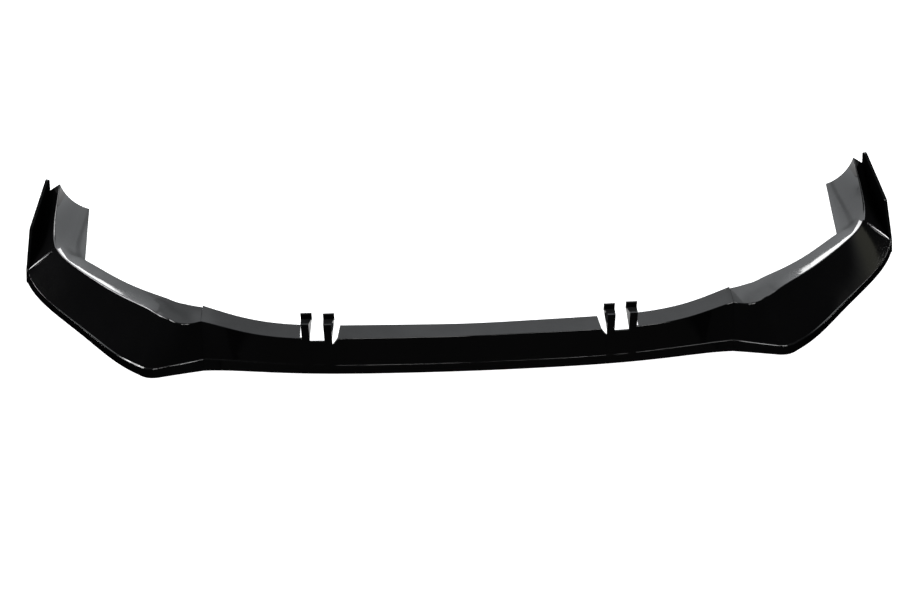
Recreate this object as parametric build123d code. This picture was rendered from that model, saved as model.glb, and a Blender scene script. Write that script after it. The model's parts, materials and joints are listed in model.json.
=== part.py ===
from build123d import *
from collections import namedtuple
import math
import os

# Front splitter lip for a car bumper: a centre section and two swept wings, moulded in plastic of one wall
# thickness and screwed together at two lap joints. X runs across the car, +Y to its rear, +Z up.
# While it is drawn, y is measured back from the front edge at the middle of the car.

# Moulding
wall = 3.0
crease_radius = 1.5
wing_round = 4.0
rim_slope = 20.0
rim_round_share = 0.7
foot_radius = 3.0
sharp_radius = 0.5
rim_roll = 0.8
ledge_sag = -0.4
centre_crease_z = 76.5
centre_ledge_z = 79.5
wing_ledge_z = 93.0
rim_height = 22.0

# Seam between the centre section and each wing
seam_x = 514.0
seam_edge_y = 27.0
seam_reach = 49.0
seam_ledge = 44.0
seam_crease_z = 87.0
seam_ledge_z = 90.0
seam_lean = 12.0
seam_roll = 2.5
seam_gap = 0.6
seam_step = 4.5
lap_length = 32.0
lap_clearance = 0.4
lap_root = 12.0
lap_short = 1.0
lap_inside = 2 * wall + lap_clearance

# Joint screws, up through the underside return of the lap, clear of the rim
screw_diameter = 4.0
screw_head_diameter = 8.0
screw_length = 12.0
screw_pitch = 16.0
screw_margin = 1.0
screw_clearance = 0.2
nut_width = 7.0
nut_height = 3.2
nut_clearance = 0.05
screw_inset = seam_lean + lap_inside + nut_width / 2 + screw_margin
return_depth = screw_inset + nut_width

# Posts, two in each notch of the ledge
pair_x = 290.75
post_pitch = 42.5
post_width = 15.0
post_flare = 6.5
post_depth = 20.0
post_height = 36.0
post_tab_height = 12.0
post_proud = 1.5
notch_room = 10.0
notch_gap = 3.5
notch_slant = 5.0
notch_drop = 5.0
notch_vee_depth = 13.0
inner_post_x = pair_x - post_pitch / 2 + post_width / 2
outer_post_x = pair_x + post_pitch / 2 + post_width / 2
notch_inner_x = inner_post_x - post_width - notch_room
notch_outer_x = outer_post_x + notch_gap

# Wing: the lower edge has a corner a little ahead of the seam, and sweeps back from there to the tip
corner_out = 108.0
corner_ahead = 17.0
corner_cut = 22.0
corner_roll = 4.5
wing_span = 390.0
wing_back = 295.0
tip_roll = 0.4
tip_rim_height = 36.0
tip_lift = 6.0
corner_x = seam_x + corner_out
corner_y = seam_edge_y - corner_ahead
tip_x = seam_x + wing_span
tip_y = seam_edge_y + wing_back

# Cove and ramp at the wing's end
cove_heading = 17.2
cove_spacing = 51.0
crest_radius = 2.0
rear_crest_z = 163.0
rear_valley_z = 136.0

# Rolled ridge between the wing's face and the ramp, thickest half way along
ridge_radius = 3.6
ridge_sink = 0.9
ridge_start = 0.14
ridge_end = 0.95

# End fin: an upright plate from the tip backwards, that leans inwards
fin_thickness = 6.0
fin_ahead = 3.0
fin_inset = 26.0
fin_run = 147.0
fin_lean = 8.0
fin_foot_z = 1.2
fin_brow_back = 4.0
fin_kink_height = 118.0
fin_kink_back = 36.0
fin_rear_height = 172.0
fin_tail_height = 60.0
fin_foot_back = 34.0
fin_corner = 8.0
fin_tip_radius = 4.0

# One section of the skin, on an upright plane. It starts at the lower front edge (edge_x, edge_y) and runs
# inwards against the heading: the face reaches back to the crease, and the ledge runs on from there. At its
# foot the face steps out by the roll, onto the rim.
Section = namedtuple(
    "Section",
    "edge_x edge_y heading reach ledge crease_z ledge_z lean roll sag round rim lift",
    defaults=(rim_roll, ledge_sag, crease_radius, rim_height, 0.0),
)

# Front run, in even steps from the middle of the car to the seam
run_step = seam_x / 6
front_run = [
    Section(0 * run_step, 0.0, -90, 16.7, 34.0, centre_crease_z, centre_ledge_z, 2.0),
    Section(1 * run_step, 0.7, -90, 17.4, 34.5, centre_crease_z, centre_ledge_z, 2.0),
    Section(2 * run_step, 2.5, -90, 17.7, 35.5, centre_crease_z, centre_ledge_z, 2.0),
    Section(3 * run_step, 5.8, -90, 16.9, 36.5, centre_crease_z, centre_ledge_z, 2.5),
    Section(4 * run_step, 12.0, -90, 15.5, 37.5, 78.3, 81.5, 4.0),
    Section(5 * run_step, 21.5, -90, 24.5, 39.0, 81.0, 84.0, 6.0, 1.5),
    Section(
        6 * run_step,
        seam_edge_y,
        -90,
        seam_reach,
        seam_ledge,
        seam_crease_z,
        seam_ledge_z,
        seam_lean,
        seam_roll,
    ),
]


def root_place(out, ahead):
    # A place on the lower edge, as shares of the way from the seam to the corner
    return seam_x + out * (corner_x - seam_x), seam_edge_y + ahead * (corner_y - seam_edge_y)


def sweep_place(out, back):
    # A place on the lower edge, as shares of the way from the corner to the tip
    return corner_x + out * (tip_x - corner_x), corner_y + back * (tip_y - corner_y)


# Wing root, from the seam to the corner of the lower edge
wing_root = [
    front_run[-1]._replace(ledge=seam_ledge - seam_step),
    Section(*root_place(0.40, 0.35), -75, 44.0, 57.5, 92.5, 91.0, 6.0, 3.5, -1.0, wing_round),
    Section(*root_place(1.0, 1.0), -62, 80.5, 51.5, 96.0, wing_ledge_z, 1.0, corner_roll, -1.6, wing_round),
]

# Swept edge, from that corner to the tip
wing_sweep = [
    wing_root[-1],
    Section(*sweep_place(0.277, 0.211), -50, 75.0, 42.5, 99.5, wing_ledge_z, 1.0, 3.0, -1.6, wing_round),
    Section(*sweep_place(0.596, 0.526), -43, 58.3, 35.8, 101.5, wing_ledge_z, 1.5, 1.4, -0.7, wing_round),
    Section(
        *sweep_place(0.773, 0.701),
        -20,
        60.0,
        37.5,
        103.0,
        wing_ledge_z,
        2.0,
        0.6,
        -0.8,
        wing_round,
        23.0,
    ),
    Section(
        *sweep_place(0.929, 0.883),
        6,
        76.5,
        47.8,
        104.5,
        wing_ledge_z,
        5.0,
        tip_roll,
        -1.5,
        wing_round,
        28.0,
        2.0,
    ),
    Section(
        tip_x,
        tip_y,
        cove_heading,
        88.0,
        60.6,
        109.0,
        wing_ledge_z,
        10.0,
        tip_roll,
        -4.0,
        wing_round,
        tip_rim_height,
        tip_lift,
    ),
]

# Cove and ramp behind the tip, each on an upright plane from the ledge's inner edge outwards to the fin
EndSection = namedtuple("EndSection", "inset back ledge crest_z ledge_z valley_z sag round")
cove_run = [
    EndSection(139.0, 0, 67.5, 121.0, 97.0, 44.0, -8.0, wing_round),
    EndSection(136.0, cove_spacing, 63.3, 143.0, 103.0, 68.0, -11.0, crest_radius),
    EndSection(133.0, 2 * cove_spacing, 57.5, rear_crest_z, 110.0, rear_valley_z, -13.0, crest_radius),
]


def between(first, second, share):
    # The section at a share of the way from one section to another
    return Section(*[a + (b - a) * share for a, b in zip(first, second)])


def section_at(x):
    # The front run's section at any place across the car
    for first, second in zip(front_run, front_run[1:]):
        if first.edge_x <= x <= second.edge_x:
            return between(first, second, (x - first.edge_x) / (second.edge_x - first.edge_x))
    return front_run[-1]


def cut_share(corner, other):
    # How far towards the next section the rounding of the lower corner reaches
    return corner_cut / math.hypot(other.edge_x - corner.edge_x, other.edge_y - corner.edge_y)


def upright_plane(x, y, heading):
    outwards = (math.cos(math.radians(heading)), math.sin(math.radians(heading)), 0)
    return Plane(origin=(x, y, 0), x_dir=outwards, z_dir=(outwards[1], -outwards[0], 0))


def offset_path(points, distance):
    # Moves an open path to its right by the given distance, with mitred corners
    normals = []
    for (ax, ay), (bx, by) in zip(points, points[1:]):
        length = math.hypot(bx - ax, by - ay)
        normals.append(((by - ay) / length, -(bx - ax) / length))
    moved = []
    for index, (px, py) in enumerate(points):
        before = normals[max(index - 1, 0)]
        after = normals[min(index, len(normals) - 1)]
        scale = distance / (1 + before[0] * after[0] + before[1] * after[1])
        moved.append((px + (before[0] + after[0]) * scale, py + (before[1] + after[1]) * scale))
    return moved


def corner_arc(before, corner, after, radius):
    # The three points of an arc that rounds one corner
    to_before = Vector(before[0] - corner[0], before[1] - corner[1]).normalized()
    to_after = Vector(after[0] - corner[0], after[1] - corner[1]).normalized()
    half = math.acos(max(-1, min(1, to_before.dot(to_after)))) / 2
    along = radius / math.tan(half)
    middle = (to_before + to_after).normalized() * (radius / math.sin(half) - radius)
    place = Vector(corner[0], corner[1])
    return place + to_before * along, place + middle, place + to_after * along


def arc_middle(first, second, sag):
    # The middle of a bowed line; a negative sag lies below it
    length = math.hypot(second[0] - first[0], second[1] - first[1])
    return (
        (first[0] + second[0]) / 2 - (second[1] - first[1]) / length * sag,
        (first[1] + second[1]) / 2 + (second[0] - first[0]) / length * sag,
    )


def skin_path(section, short=0.0):
    # Ledge, crease, face, rim and return, from the ledge's inner edge round to the return's
    ledge_end = (-section.reach - section.ledge, section.ledge_z)
    crease = (-section.reach, section.crease_z)
    step = section.roll * math.tan(math.radians(rim_slope))
    face_foot = (-section.lean - section.roll, section.rim + step)
    foot = (0.0, section.lift)
    return_end = (short - return_depth, section.lift)
    return [ledge_end, arc_middle(ledge_end, crease, section.sag), crease, face_foot, foot, return_end]


def rim_edges(section, face_foot, foot, outer):
    # From the foot of the face to the foot of the rim: over the roll on the show side, straight elsewhere
    if outer > 0:
        return [Line(face_foot, foot[0])]
    rim_top = (-section.lean, section.rim)
    rim = corner_arc(face_foot, rim_top, foot[1], rim_round_share * section.roll)
    return [Line(face_foot, rim[0]), ThreePointArc(*rim), Line(rim[2], foot[0])]


def skin_face(section, outer, inner):
    # The skin's section between two depths below its outer surface
    plane = upright_plane(section.edge_x, section.edge_y, section.heading)
    path = skin_path(section, lap_short if outer > 0 else 0.0)
    outside = offset_path(path, outer)
    inside = offset_path(path, inner)
    crease = corner_arc(outside[0], outside[2], outside[3], max(section.round - outer, sharp_radius))
    above = outside[3] if outer > 0 else (-section.lean, section.rim)
    foot = corner_arc(above, outside[4], outside[5], max(foot_radius - outer, sharp_radius))
    inner_crease = corner_arc(inside[0], inside[2], inside[3], max(section.round - inner, sharp_radius))
    inner_foot = corner_arc(inside[3], inside[4], inside[5], max(foot_radius - inner, sharp_radius))
    edges = [
        ThreePointArc(outside[0], outside[1], crease[0]),
        ThreePointArc(*crease),
        Line(crease[2], outside[3]),
        *rim_edges(section, outside[3], (foot[0], outside[4]), outer),
        ThreePointArc(*foot),
        Line(foot[2], outside[5]),
        Line(outside[5], inside[5]),
        Line(inside[5], inner_foot[2]),
        ThreePointArc(*reversed(inner_foot)),
        Line(inner_foot[0], inside[3]),
        Line(inside[3], inner_crease[2]),
        ThreePointArc(*reversed(inner_crease)),
        ThreePointArc(inner_crease[0], inside[1], inside[0]),
        Line(inside[0], outside[0]),
    ]
    return plane * make_face(edges)


def skin(sections, outer, inner):
    return loft([skin_face(section, outer, inner) for section in sections])


def cove_face(plane, ledge_end, crest, valley, sag, radius):
    # Ledge, rounded crest and ramp, one wall thick
    path = [ledge_end, arc_middle(ledge_end, crest, sag), crest, valley]
    inside = offset_path(path, wall)
    crease = corner_arc(path[0], path[2], path[3], radius)
    inner_crease = corner_arc(inside[0], inside[2], inside[3], max(radius - wall, sharp_radius))
    edges = [
        ThreePointArc(path[0], path[1], crease[0]),
        ThreePointArc(*crease),
        Line(crease[2], path[3]),
        Line(path[3], inside[3]),
        Line(inside[3], inner_crease[2]),
        ThreePointArc(*reversed(inner_crease)),
        ThreePointArc(inner_crease[0], inside[1], inside[0]),
        Line(inside[0], path[0]),
    ]
    return plane * make_face(edges)


def fin_reach(x, y, height):
    # How far out along the cove's heading the middle of the fin lies from a place, at a given height
    slope = fin_inset / fin_run
    lean = math.tan(math.radians(fin_lean)) * height
    middle_x = tip_x - slope * (y - tip_y + fin_ahead) - lean - fin_thickness / 2
    across = math.cos(math.radians(cove_heading)) + slope * math.sin(math.radians(cove_heading))
    return (middle_x - x) / across


def cove():
    tip = wing_sweep[-1]
    path = skin_path(tip)
    plane = upright_plane(tip.edge_x, tip.edge_y, tip.heading)
    faces = [cove_face(plane, path[0], path[2], path[3], tip.sag, tip.round)]
    for section in cove_run:
        x = tip_x - section.inset
        y = tip_y + section.back
        crest = (section.ledge, section.crest_z)
        valley = (fin_reach(x, y, section.valley_z), section.valley_z)
        ledge_end = (0.0, section.ledge_z)
        plane = upright_plane(x, y, cove_heading)
        faces.append(cove_face(plane, ledge_end, crest, valley, section.sag, section.round))
    return loft(faces)


def tip_ridge():
    tip = wing_sweep[-1]
    top, foot = offset_path(skin_path(tip)[2:4], ridge_sink)
    run = Vector(*foot) - Vector(*top)
    first = Vector(*top) + run * ridge_start
    last = Vector(*top) + run * ridge_end
    aside = Vector(-run.Y, run.X).normalized()
    bulge = (first + last) * 0.5 + aside * ridge_radius
    near = first + aside * ridge_sink
    far = last + aside * ridge_sink
    arc = ThreePointArc(far, bulge, near)
    lens = make_face([Line(first, last), Line(last, far), arc, Line(near, first)])
    plane = upright_plane(tip.edge_x, tip.edge_y, tip.heading)
    origin = plane.from_local_coords(first)
    axis = Axis(origin, plane.from_local_coords(last) - origin)
    return revolve(plane * lens, axis)


def end_fin():
    run = Vector(-fin_inset, fin_run, 0)
    length = run.length
    back = run.normalized()
    up = Vector(0, 0, 1)
    lean = math.radians(fin_lean)
    normal = back.cross(up) * math.cos(lean) + up * math.sin(lean)
    plane = Plane(origin=(tip_x, tip_y - fin_ahead, 0), x_dir=back, z_dir=normal)
    outline = FilletPolyline(
        (0, fin_foot_z),
        (fin_brow_back, tip_rim_height),
        (fin_kink_back, fin_kink_height),
        (length, fin_rear_height),
        (length, fin_tail_height),
        (length - fin_foot_back, fin_foot_z),
        radius=[fin_tip_radius, fin_corner, fin_corner, fin_corner, fin_corner, fin_corner],
        close=True,
    )
    return plane * extrude(make_face(outline), -fin_thickness)


def post(outer_x):
    # A hollow wedge that widens upwards and back, with a rib down the face and a tab on its back edge
    section = section_at(outer_x - post_width / 2)
    front = section.edge_y + section.reach - post_proud
    back = front + post_depth
    foot_z = section.crease_z - wall
    top_z = section.crease_z + post_height
    inner_x = outer_x - post_width
    flare_x = inner_x - post_flare
    root = front + wall
    low = Polyline((inner_x, front), (outer_x, front), (outer_x, root), (inner_x, root), close=True)
    high = Polyline((inner_x, front), (outer_x, front), (outer_x, back), (flare_x, back), close=True)
    wedge = loft([Pos(0, 0, foot_z) * make_face(low), Pos(0, 0, top_z) * make_face(high)])
    inside_width = post_width - 2 * wall
    inside_height = post_height - wall
    hollow = Pos(inner_x + post_width / 2, back, foot_z + wall + inside_height / 2) * Box(
        inside_width, 2 * (post_depth - wall), inside_height
    )
    tab = Pos((flare_x + outer_x) / 2, back - wall / 2, top_z + (post_tab_height - wall) / 2) * Box(
        outer_x - flare_x, wall, post_tab_height + wall
    )
    rim_y = section.edge_y + section.lean
    side = Polyline(
        (front, section.crease_z),
        (front + wall, section.crease_z),
        (rim_y + wall - post_proud, section.rim),
        (rim_y - post_proud, section.rim),
        close=True,
    )
    rib = extrude(Plane.YZ.offset(inner_x) * make_face(side), post_width)
    return wedge - hollow + tab + rib


def notch():
    # One gap in the ledge: its plan from just behind the crease to past the ledge's back edge, a lowered
    # stretch of the face from post to post, and a V beside the inner post
    inner = section_at(notch_inner_x)
    outer = section_at(notch_outer_x)
    inner_front = inner.edge_y + inner.reach + wall
    outer_front = outer.edge_y + outer.reach + wall
    inner_back = inner_front + inner.ledge
    outer_back = outer_front + outer.ledge
    top = outer.ledge_z + 2 * wall
    bottom = inner.crease_z - 2 * wall
    plan = Polyline(
        (notch_inner_x, inner_front),
        (notch_inner_x - notch_slant, inner_back),
        (notch_outer_x, outer_back),
        (notch_outer_x, outer_front),
        close=True,
    )
    gap = Pos(0, 0, bottom) * extrude(make_face(plan), top - bottom)
    drop = inner.crease_z - notch_drop
    lowered = Polyline(
        (inner_post_x, drop),
        (outer_post_x - post_width, drop),
        (outer_post_x - post_width, top),
        (inner_post_x, top),
        close=True,
    )
    post_side = inner_post_x - post_width
    vee = Polyline(
        (notch_inner_x, inner.crease_z),
        (post_side, inner.crease_z - notch_vee_depth),
        (post_side, top),
        (notch_inner_x, top),
        close=True,
    )
    front_cut = Plane.XZ * extrude(make_face(lowered) + make_face(vee), -outer_back)
    return gap + front_cut


def screw_places():
    middle = seam_x - lap_length / 2
    across = (middle - screw_pitch / 2, middle + screw_pitch / 2)
    return [(x, section_at(x).edge_y + screw_inset) for x in across]


upwards = (Align.CENTER, Align.CENTER, Align.MIN)


def joint_screw():
    head_height = (screw_head_diameter - screw_diameter) / 2
    head = Cone(screw_head_diameter / 2, screw_diameter / 2, head_height, align=upwards)
    return head + Cylinder(screw_diameter / 2, screw_length, align=upwards)


def joint_nut():
    hexagon = RegularPolygon(nut_width / 2, 6, major_radius=False)
    bore = Circle(screw_diameter / 2 + nut_clearance)
    return Pos(0, 0, lap_inside) * extrude(hexagon - bore, nut_height)


def countersink():
    radius = screw_head_diameter / 2 + screw_clearance
    bore = screw_diameter / 2 + screw_clearance
    return Cone(radius, bore, radius - bore, align=upwards) + Cylinder(bore, 2 * lap_inside)


def slab(low_x, high_x):
    # All of the space between two planes across the car
    size = 4 * tip_y
    return Pos((low_x + high_x) / 2, 0, 0) * Box(high_x - low_x, size, size)


def mirrored(sections):
    return [section._replace(edge_x=-section.edge_x) for section in reversed(sections[1:])]


# Centre section
half_run = front_run[:-1] + [front_run[-1]._replace(edge_x=seam_x - seam_gap / 2)]
centre = skin(mirrored(half_run) + half_run, 0, wall)
half_cut = notch()
for x, y in screw_places():
    half_cut += Pos(x, y, 0) * countersink()
half_add = post(inner_post_x) + post(outer_post_x)
centre = centre - half_cut - mirror(half_cut, about=Plane.YZ)
centre = centre + half_add + mirror(half_add, about=Plane.YZ)

# Right wing: root, swept edge, cove with ramp, end fin
root_x = seam_x + seam_gap / 2
corner = wing_root[-1]
before_corner = between(corner, wing_root[1], cut_share(corner, wing_root[1]))
after_corner = between(corner, wing_sweep[1], cut_share(corner, wing_sweep[1]))
on_corner = between(corner, between(before_corner, after_corner, 0.5), 0.5)
root_run = [wing_root[0]._replace(edge_x=root_x), wing_root[1], before_corner]
wing = skin(root_run, 0, wall)
wing = wing + skin([before_corner, on_corner, after_corner], 0, wall)
wing = wing + skin([after_corner] + wing_sweep[1:], 0, wall)
wing = wing + cove() + end_fin() + tip_ridge()

# Tongue behind the seam: it follows the inside of the centre section and is thickened into the wing's root
lap_run = front_run[:-1] + [front_run[-1]._replace(edge_x=root_x)]
tongue = skin(mirrored(lap_run) + lap_run, wall + lap_clearance, lap_inside)
tongue = tongue & slab(seam_x - lap_length, root_x)
tongue_root = skin(root_run, wall - lap_clearance, lap_inside) & slab(root_x, seam_x + lap_root)
tongue = tongue + tongue_root
for x, y in screw_places():
    tongue -= Pos(x, y, 0) * Cylinder(screw_diameter / 2 + screw_clearance, 4 * lap_inside)
wing = wing + tongue

screws = [Pos(x, y, 0) * joint_screw() for x, y in screw_places()]
nuts = [Pos(x, y, 0) * joint_nut() for x, y in screw_places()]

# The origin lies under the middle of the whole lip, at the height of its lowest point
centre_box = centre.bounding_box()
wing_box = wing.bounding_box()
middle_y = (centre_box.min.Y + wing_box.max.Y) / 2
lowest_z = min(centre_box.min.Z, wing_box.min.Z)
seat = Pos(0, -middle_y, -lowest_z)

os.makedirs("parts", exist_ok=True)
export_step(seat * centre, "parts/centre_section.step")
export_step(seat * wing, "parts/right_wing.step")
export_step(mirror(seat * wing, about=Plane.YZ), "parts/left_wing.step")
for name, pieces in (("screws", screws), ("nuts", nuts)):
    right = [seat * piece for piece in pieces]
    left = [mirror(piece, about=Plane.YZ) for piece in right]
    export_step(Compound(children=right), "parts/right_joint_" + name + ".step")
    export_step(Compound(children=left), "parts/left_joint_" + name + ".step")
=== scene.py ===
import json
import math

import bpy
import bmesh
from mathutils import Matrix, Vector

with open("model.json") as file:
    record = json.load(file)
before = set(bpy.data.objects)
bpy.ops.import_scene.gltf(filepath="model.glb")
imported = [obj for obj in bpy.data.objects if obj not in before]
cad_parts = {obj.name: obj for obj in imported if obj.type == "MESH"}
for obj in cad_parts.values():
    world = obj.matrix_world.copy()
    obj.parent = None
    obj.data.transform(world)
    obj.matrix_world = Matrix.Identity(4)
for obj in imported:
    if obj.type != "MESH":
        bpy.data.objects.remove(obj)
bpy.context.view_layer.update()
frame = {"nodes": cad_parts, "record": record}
nodes = frame["nodes"]
print("frame loaded:", sorted(nodes))


# helpers for shader trees

def newGroup(name, inputs, outputs):
    group = bpy.data.node_groups.new(name, "ShaderNodeTree")
    for socketName, kind in inputs:
        group.interface.new_socket(socketName, in_out="INPUT", socket_type=kind)
    for socketName, kind in outputs:
        group.interface.new_socket(socketName, in_out="OUTPUT", socket_type=kind)
    start = group.nodes.new("NodeGroupInput")
    end = group.nodes.new("NodeGroupOutput")
    return group, start, end


def addNode(tree, kind, **settings):
    node = tree.nodes.new(kind)
    for name, value in settings.items():
        setattr(node, name, value)
    return node


def mathNode(tree, operation, first, second=0.0, clamp=False):
    node = addNode(tree, "ShaderNodeMath", operation=operation, use_clamp=clamp)
    for place, value in enumerate((first, second)):
        if isinstance(value, (int, float)):
            node.inputs[place].default_value = value
        else:
            tree.links.new(value, node.inputs[place])
    return node.outputs[0]


def productOf(tree, first, *others):
    result = first
    for value in others:
        result = mathNode(tree, "MULTIPLY", result, value)
    return result


def distanceFrom(tree, value, middle):
    return mathNode(tree, "ABSOLUTE", mathNode(tree, "SUBTRACT", value, middle))


def rangeNode(tree, value, span, result=(0.0, 1.0), kind="LINEAR"):
    node = addNode(tree, "ShaderNodeMapRange", interpolation_type=kind)
    tree.links.new(value, node.inputs["Value"])
    for name, number in zip(("From Min", "From Max", "To Min", "To Max"), (*span, *result)):
        node.inputs[name].default_value = number
    return node.outputs["Result"]


def fadeNode(tree, value, span, result=(0.0, 1.0)):
    return rangeNode(tree, value, span, result, "SMOOTHSTEP")


def colourMix(tree, share, first, second):
    node = addNode(tree, "ShaderNodeMix", data_type="RGBA")
    tree.links.new(share, node.inputs["Factor"])
    for place, value in ((6, first), (7, second)):  # the node's sockets for colours
        if isinstance(value, tuple):
            node.inputs[place].default_value = (*value, 1.0)
        else:
            tree.links.new(value, node.inputs[place])
    return node.outputs[2]


def noiseNode(tree, vector, scale, detail, rough):
    node = addNode(tree, "ShaderNodeTexNoise")
    tree.links.new(vector, node.inputs["Vector"])
    if isinstance(scale, float):
        node.inputs["Scale"].default_value = scale
    else:
        tree.links.new(scale, node.inputs["Scale"])
    node.inputs["Detail"].default_value = detail
    node.inputs["Roughness"].default_value = rough
    return node.outputs["Fac"]


def splitByCamera(tree, inGloss, seen, end):
    path = addNode(tree, "ShaderNodeLightPath")
    pick = addNode(tree, "ShaderNodeMixShader")
    tree.links.new(path.outputs["Is Camera Ray"], pick.inputs[0])
    tree.links.new(inGloss.outputs[0], pick.inputs[1])
    tree.links.new(seen.outputs[0], pick.inputs[2])
    tree.links.new(pick.outputs[0], end.inputs["Surface"])


# camera, solved from the photo's outline; angles in degrees
viewFrom = {
    "target": (-0.014, -0.098, 0.052),
    "distance": 3.0,
    "elevation": 40.0,
    "swing": -2.17,
    "roll": -0.67,
    "lens": 59.557,
    "sensor": 36.0,
    "clip": (0.05, 60.0),
}


def makeCamera(v):
    rise, swing, roll = (math.radians(v[name]) for name in ("elevation", "swing", "roll"))
    flat = math.cos(rise)
    back = Vector((math.sin(swing) * flat, -math.cos(swing) * flat, math.sin(rise)))
    right = Vector((math.cos(swing), math.sin(swing), 0.0))
    up = back.cross(right)
    across = math.cos(roll) * right + math.sin(roll) * up
    above = math.cos(roll) * up - math.sin(roll) * right
    data = bpy.data.cameras.new("photoCamera")
    data.sensor_width = v["sensor"]
    data.lens = v["lens"]
    data.clip_start, data.clip_end = v["clip"]
    camera = bpy.data.objects.new("photoCamera", data)
    turn = Matrix((across, above, back)).transposed().to_4x4()
    turn.translation = Vector(v["target"]) + back * v["distance"]
    camera.matrix_world = turn
    bpy.context.scene.collection.objects.link(camera)
    bpy.context.scene.camera = camera


makeCamera(viewFrom)
print("camera placed")

# moulded skin: slight waviness, smudges and a fine mottle
skinLook = {
    "peel": (1.5, 0.4),  # detail and roughness of the noise, at the finish's own scale
    "smudge": (4.0, 0.62),
    "smudgeSpan": (0.38, 0.68),
    "fine": (900.0, 2.0, 0.5),  # scale, detail and roughness
    "fineSpan": (0.35, 0.7),
    "patchSpan": (0.3, 0.7),
    "patchShare": (0.4, 1.0),
}


def makeSkinGroup(v):
    group, start, end = newGroup(
        "mouldedSkin",
        [
            ("Vector", "NodeSocketVector"),
            ("Peel Scale", "NodeSocketFloat"),
            ("Smudge Scale", "NodeSocketFloat"),
        ],
        [("Height", "NodeSocketFloat"), ("Smudge", "NodeSocketFloat"), ("Mottle", "NodeSocketFloat")],
    )
    vector = start.outputs["Vector"]
    peel = noiseNode(group, vector, start.outputs["Peel Scale"], *v["peel"])
    smudge = noiseNode(group, vector, start.outputs["Smudge Scale"], *v["smudge"])
    fine = rangeNode(group, noiseNode(group, vector, *v["fine"]), v["fineSpan"])
    patches = rangeNode(group, smudge, v["patchSpan"], v["patchShare"])
    group.links.new(peel, end.inputs["Height"])
    group.links.new(fadeNode(group, smudge, v["smudgeSpan"]), end.inputs["Smudge"])
    group.links.new(productOf(group, fine, patches), end.inputs["Mottle"])
    return group


# settled dust and painted sheen on what lies level: faces that point up get a paler colour, partly
# dust and partly painted sheen in place of the reflection that level faces show
dustAndSheenLook = {
    "level": (0.8, 0.99),  # how far the surface faces up
    "cloud": (30.0, 5.0, 0.6),  # scale, detail and roughness
    "cloudSpan": (0.3, 0.75),
    "cloudShare": (0.3, 1.0),
    "specks": (1400.0, 1.0, 0.5),
    "speckSpan": (0.45, 0.8),
    "speckShare": (0.35, 1.0),
}


def makeDustAndSheenGroup(v):
    group, start, end = newGroup(
        "settledDustAndSheen",
        [("Vector", "NodeSocketVector"), ("Amount", "NodeSocketFloat")],
        [("Dust And Sheen", "NodeSocketFloat")],
    )
    vector = start.outputs["Vector"]
    geometry = addNode(group, "ShaderNodeNewGeometry")
    split = addNode(group, "ShaderNodeSeparateXYZ")
    group.links.new(geometry.outputs["True Normal"], split.inputs[0])
    level = fadeNode(group, split.outputs["Z"], v["level"])
    cloud = rangeNode(group, noiseNode(group, vector, *v["cloud"]), v["cloudSpan"], v["cloudShare"])
    specks = rangeNode(group, noiseNode(group, vector, *v["specks"]), v["speckSpan"], v["speckShare"])
    # the mask is partly settled dust and partly painted sheen: level faces made paler
    dustAndSheen = productOf(group, cloud, specks, level)
    dustAndSheen = mathNode(group, "MULTIPLY", dustAndSheen, start.outputs["Amount"], True)
    group.links.new(dustAndSheen, end.inputs["Dust And Sheen"])
    return group


skinGroup = makeSkinGroup(skinLook)
dustAndSheenGroup = makeDustAndSheenGroup(dustAndSheenLook)


def addSkin(tree, place, v):
    skin = addNode(tree, "ShaderNodeGroup", node_tree=skinGroup)
    skin.inputs["Peel Scale"].default_value = v["peelScale"]
    skin.inputs["Smudge Scale"].default_value = v["smudgeScale"]
    tree.links.new(place, skin.inputs["Vector"])
    return skin


def addBump(tree, skin, shader, v):
    bump = addNode(tree, "ShaderNodeBump")
    bump.inputs["Strength"].default_value = v["bumpStrength"]
    bump.inputs["Distance"].default_value = v["bumpDistance"]
    tree.links.new(skin.outputs["Height"], bump.inputs["Height"])
    tree.links.new(bump.outputs["Normal"], shader.inputs["Normal"])


# gloss black of the three mouldings
lipFinish = {
    "black": (0.0014, 0.0014, 0.0015),
    "worn": (0.003, 0.003, 0.0032),
    # pale grey for level faces: partly dust, partly painted sheen
    "dustAndSheen": (0.05, 0.052, 0.053),
    "dustAndSheenAmount": 0.35,
    "dustAndSheenRough": 0.15,
    "rough": (0.05, 0.08),
    "peelScale": 240.0,
    "smudgeScale": 9.0,
    "bumpStrength": 0.03,
    "bumpDistance": 0.0006,
    "ior": 1.5,
}


def makeLipGloss(v):
    material = bpy.data.materials.new("glossBlackPlastic")
    material.use_nodes = True
    tree = material.node_tree
    shader = tree.nodes["Principled BSDF"]
    place = addNode(tree, "ShaderNodeTexCoord").outputs["Object"]
    skin = addSkin(tree, place, v)
    dustAndSheen = addNode(tree, "ShaderNodeGroup", node_tree=dustAndSheenGroup)
    dustAndSheen.inputs["Amount"].default_value = v["dustAndSheenAmount"]
    tree.links.new(place, dustAndSheen.inputs["Vector"])
    dustAndSheenMask = dustAndSheen.outputs["Dust And Sheen"]
    colour = colourMix(tree, skin.outputs["Mottle"], v["black"], v["worn"])
    # paler grey on level faces: settled dust, and partly painted sheen
    colour = colourMix(tree, dustAndSheenMask, colour, v["dustAndSheen"])
    tree.links.new(colour, shader.inputs["Base Color"])
    rough = rangeNode(tree, skin.outputs["Smudge"], (0.0, 1.0), v["rough"])
    rough = mathNode(tree, "ADD", rough, mathNode(tree, "MULTIPLY", dustAndSheenMask, v["dustAndSheenRough"]))
    tree.links.new(rough, shader.inputs["Roughness"])
    addBump(tree, skin, shader, v)
    shader.inputs["IOR"].default_value = v["ior"]
    return material


# zinc plate of the screws and nuts
zincFinish = {
    "bright": (0.62, 0.63, 0.65),
    "dull": (0.42, 0.43, 0.44),
    "rough": (0.28, 0.5),
    "peelScale": 900.0,
    "smudgeScale": 160.0,
    "bumpStrength": 0.1,
    "bumpDistance": 0.0002,
}


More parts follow.
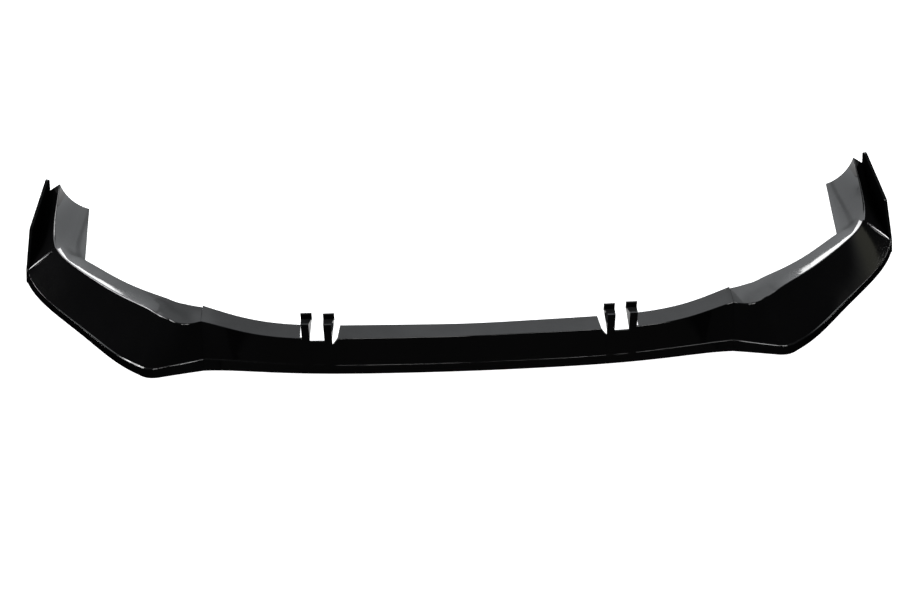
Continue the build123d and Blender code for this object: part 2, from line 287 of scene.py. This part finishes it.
def makeZinc(v):
    material = bpy.data.materials.new("zincPlate")
    material.use_nodes = True
    tree = material.node_tree
    shader = tree.nodes["Principled BSDF"]
    skin = addSkin(tree, addNode(tree, "ShaderNodeTexCoord").outputs["Object"], v)
    colour = colourMix(tree, skin.outputs["Smudge"], v["bright"], v["dull"])
    tree.links.new(colour, shader.inputs["Base Color"])
    rough = rangeNode(tree, skin.outputs["Mottle"], (0.0, 1.0), v["rough"])
    tree.links.new(rough, shader.inputs["Roughness"])
    shader.inputs["Metallic"].default_value = 1.0
    addBump(tree, skin, shader, v)
    return material


# each node's finish goes by its slot in the record
finishes = {"lip_plastic": makeLipGloss(lipFinish), "zinc_steel": makeZinc(zincFinish)}
for part in frame["record"]["subparts"]:
    piece = nodes[part["node"]]
    piece.material_slots[0].material = finishes[part["material_slot"]]
print("finishes set on", len(nodes), "nodes")


# level sheets for the studio, with an empty material

def makeSheet(name, materialName, across, deep, middle):
    bm = bmesh.new()
    bmesh.ops.create_grid(bm, x_segments=1, y_segments=1, size=0.5)  # a square of 1 m
    bmesh.ops.scale(bm, verts=bm.verts, vec=(across, deep, 1.0))
    bmesh.ops.translate(bm, verts=bm.verts, vec=middle)
    mesh = bpy.data.meshes.new(name)
    bm.to_mesh(mesh)
    bm.free()
    sheet = bpy.data.objects.new(name, mesh)
    bpy.context.scene.collection.objects.link(sheet)
    material = bpy.data.materials.new(materialName)
    material.use_nodes = True
    material.node_tree.nodes.clear()
    mesh.materials.append(material)
    return sheet, material.node_tree


# floor: white to the camera; in the gloss dark in front and pale behind, in a strip that widens
floorLook = {
    "across": 60.0,
    "drop": 0.0004,
    "pale": 0.97,
    "shade": 0.5,
    "gloss": (0.03, 1.7),
    "paleFrom": (-0.17, -0.08),
    "paleEnds": (0.55, 0.70),
    "widensFrom": 0.6,
    "widensBy": 1.5,
}


def makeFloor(v):
    low = (0.0, 0.0, -v["drop"])
    floor, tree = makeSheet("studioFloor", "paleFloor", v["across"], v["across"], low)
    end = addNode(tree, "ShaderNodeOutputMaterial")
    glow = addNode(tree, "ShaderNodeEmission")
    glow.inputs["Strength"].default_value = v["pale"]
    lit = addNode(tree, "ShaderNodeBsdfDiffuse")
    lit.inputs["Color"].default_value = (v["shade"], v["shade"], v["shade"], 1.0)
    seen = addNode(tree, "ShaderNodeAddShader")
    tree.links.new(glow.outputs[0], seen.inputs[0])
    tree.links.new(lit.outputs[0], seen.inputs[1])
    split = addNode(tree, "ShaderNodeSeparateXYZ")
    tree.links.new(addNode(tree, "ShaderNodeTexCoord").outputs["Object"], split.inputs[0])
    x = split.outputs["X"]
    y = split.outputs["Y"]
    beyond = mathNode(tree, "MAXIMUM", mathNode(tree, "SUBTRACT", y, v["widensFrom"]))
    widening = mathNode(tree, "MULTIPLY", beyond, v["widensBy"])
    offMiddle = mathNode(tree, "SUBTRACT", mathNode(tree, "ABSOLUTE", x), widening)
    within = fadeNode(tree, offMiddle, v["paleEnds"], (1.0, 0.0))
    inGloss = addNode(tree, "ShaderNodeEmission")
    strength = productOf(tree, fadeNode(tree, y, v["paleFrom"], v["gloss"]), within)
    tree.links.new(strength, inGloss.inputs["Strength"])
    splitByCamera(tree, inGloss, seen, end)


makeFloor(floorLook)
print("floor laid")


# soft light from rectangles that the camera doesn't see; glow is their radiance

def placeLight(name, size, glow, turn):
    data = bpy.data.lights.new(name, "AREA")
    data.shape = "RECTANGLE"
    data.size, data.size_y = size
    data.energy = glow * math.pi * size[0] * size[1]
    light = bpy.data.objects.new(name, data)
    light.matrix_world = turn
    light.visible_camera = False
    bpy.context.scene.collection.objects.link(light)


def turnedAway(way, place):
    turn = way.to_track_quat("Z", "Y").to_matrix().to_4x4()
    turn.translation = place
    return turn


# far boxes: azimuth from straight behind towards the right, and elevation
boxSpot = {"middle": (0.0, -0.05, 0.08), "far": 14.0}
boxes = {
    "leftBox": {"aim": (-76, 45), "size": (5.0, 4.5), "glow": 13.0},
    "leftHighBox": {"aim": (-80, 57), "size": (5.8, 2.9), "glow": 12.0},
    "leftFrontBox": {"aim": (153, 57), "size": (3.6, 5.2), "glow": 12.0},
    "rightFrontBox": {"aim": (-174, 57), "size": (2.4, 4.4), "glow": 12.0},
}


def makeBox(name, v, spot):
    azimuth, elevation = (math.radians(angle) for angle in v["aim"])
    flat = math.cos(elevation)
    way = Vector((math.sin(azimuth) * flat, math.cos(azimuth) * flat, math.sin(elevation)))
    place = Vector(spot["middle"]) + way * spot["far"]
    placeLight(name, v["size"], v["glow"], turnedAway(way, place))


for name, values in boxes.items():
    makeBox(name, values, boxSpot)

# a card on the floor beside each tip, facing up
cardLook = {"at": (1.42, 0.035, 0.002), "size": (0.87, 0.35), "glow": 13.0}


def makeCard(name, v, side):
    x, y, z = v["at"]
    turn = turnedAway(Vector((0.0, 0.0, -1.0)), Vector((side * x, y, z)))
    placeLight(name, v["size"], v["glow"], turn)


makeCard("leftCard", cardLook, -1)
makeCard("rightCard", cardLook, 1)

# upright strips close behind each wing's ledge, which make the band along the crease;
# the ends are the lower ones, on the right side
strips = {
    "Outer": {"ends": ((0.810, 0.075, 0.1090), (0.765, 0.043, 0.1096)), "tall": 0.10, "glow": 11.0},
    "Middle": {"ends": ((0.765, 0.043, 0.1104), (0.690, -0.011, 0.1190)), "tall": 0.05, "glow": 11.0},
    "Inner": {"ends": ((0.690, -0.011, 0.1190), (0.640, -0.0465, 0.1165)), "tall": 0.05, "glow": 9.0},
    "Root": {"ends": ((0.640, -0.0465, 0.1170), (0.612, -0.0667, 0.1225)), "tall": 0.05, "glow": 6.0},
}


def makeStrip(name, v, side):
    ends = [Vector((side * x, y, z)) for x, y, z in v["ends"]]
    first, last = sorted(ends, key=lambda point: -point.x)
    along = last - first
    across = along.normalized()
    level = across.cross(Vector((0.0, 0.0, 1.0))).normalized()
    rise = level.cross(across)
    turn = Matrix((across, rise, level)).transposed().to_4x4()
    turn.translation = (first + last) / 2 + rise * v["tall"] / 2
    placeLight(name, (along.length, v["tall"]), v["glow"], turn)


for name, values in strips.items():
    makeStrip("left" + name + "Strip", values, -1)
    makeStrip("right" + name + "Strip", values, 1)
print("lights placed")

# a see-through flag hung over the front run, which dims the wall in its ledge
flagLook = {
    "corner": (-0.64, -0.12),
    "across": 1.175,
    "deep": 0.28,
    "high": 0.25,
    "through": 0.62,
}


def makeFlag(v):
    x, y = v["corner"]
    middle = (x + v["across"] / 2, y + v["deep"] / 2, v["high"])
    flag, tree = makeSheet("studioFlag", "flagCloth", v["across"], v["deep"], middle)
    end = addNode(tree, "ShaderNodeOutputMaterial")
    veil = addNode(tree, "ShaderNodeBsdfTransparent")
    veil.inputs["Color"].default_value = (v["through"], v["through"], v["through"], 1.0)
    tree.links.new(veil.outputs[0], end.inputs["Surface"])
    flag.visible_camera = False


makeFlag(flagLook)

# room: white to the camera; in the gloss a wall behind, paler at its sides and dimmer in a gap, and a
# weak olive glow low on the right. Spans are of the direction's x, y or z
roomLook = {
    "pale": 1.0,
    "dim": 0.02,
    "middleAt": -0.04,
    "middle": (1.25, 2.0),
    "middleRise": (0.59, 0.70),
    "sides": 2.15,
    "sidesFrom": (0.08, 0.42),
    "gap": 0.6,
    "gapAt": -0.12,
    "gapEnds": (0.02, 0.16),
    "gapRise": (0.55, 0.66),
    "wallFront": (0.33, 0.44),
    "wallFoot": (-0.06, 0.0),
    "wallTop": (0.84, 0.94),
    "glow": 0.28,
    "glowSide": (0.9, 0.97),
    "glowFront": (0.0, 0.12),
    "glowTop": (0.06, 0.2),
    "cool": (0.97, 1.0, 1.03),
    "olive": (1.0, 1.0, 0.82),
}


def makeRoom(v):
    world = bpy.data.worlds.new("studioRoom")
    world.use_nodes = True
    tree = world.node_tree
    tree.nodes.clear()
    end = addNode(tree, "ShaderNodeOutputWorld")
    split = addNode(tree, "ShaderNodeSeparateXYZ")
    tree.links.new(addNode(tree, "ShaderNodeTexCoord").outputs["Generated"], split.inputs[0])
    x, y, z = (split.outputs[axis] for axis in "XYZ")
    outer = fadeNode(tree, distanceFrom(tree, x, v["middleAt"]), v["sidesFrom"])
    inner = mathNode(tree, "SUBTRACT", 1.0, outer)
    gap = productOf(
        tree,
        fadeNode(tree, distanceFrom(tree, x, v["gapAt"]), v["gapEnds"], (v["gap"], 0.0)),
        fadeNode(tree, z, v["gapRise"]),
    )
    middle = mathNode(tree, "SUBTRACT", fadeNode(tree, z, v["middleRise"], v["middle"]), gap)
    sides = mathNode(tree, "MULTIPLY", outer, v["sides"])
    wall = productOf(
        tree,
        mathNode(tree, "ADD", productOf(tree, inner, middle), sides),
        fadeNode(tree, y, v["wallFront"]),
        fadeNode(tree, z, v["wallFoot"]),
        fadeNode(tree, z, v["wallTop"], (1.0, 0.0)),
    )
    glow = productOf(
        tree,
        fadeNode(tree, x, v["glowSide"]),
        fadeNode(tree, y, v["glowFront"]),
        fadeNode(tree, z, v["glowTop"], (1.0, 0.0)),
    )
    strength = mathNode(tree, "ADD", wall, mathNode(tree, "MULTIPLY", glow, v["glow"]))
    inGloss = addNode(tree, "ShaderNodeBackground")
    tree.links.new(colourMix(tree, glow, v["cool"], v["olive"]), inGloss.inputs["Color"])
    tree.links.new(mathNode(tree, "ADD", strength, v["dim"]), inGloss.inputs["Strength"])
    seen = addNode(tree, "ShaderNodeBackground")
    seen.inputs["Strength"].default_value = v["pale"]
    seen.inputs["Color"].default_value = (1.0, 1.0, 1.0, 1.0)
    splitByCamera(tree, inGloss, seen, end)
    bpy.context.scene.world = world


makeRoom(roomLook)
bpy.context.scene.view_settings.view_transform = "Standard"
print("studio ready")
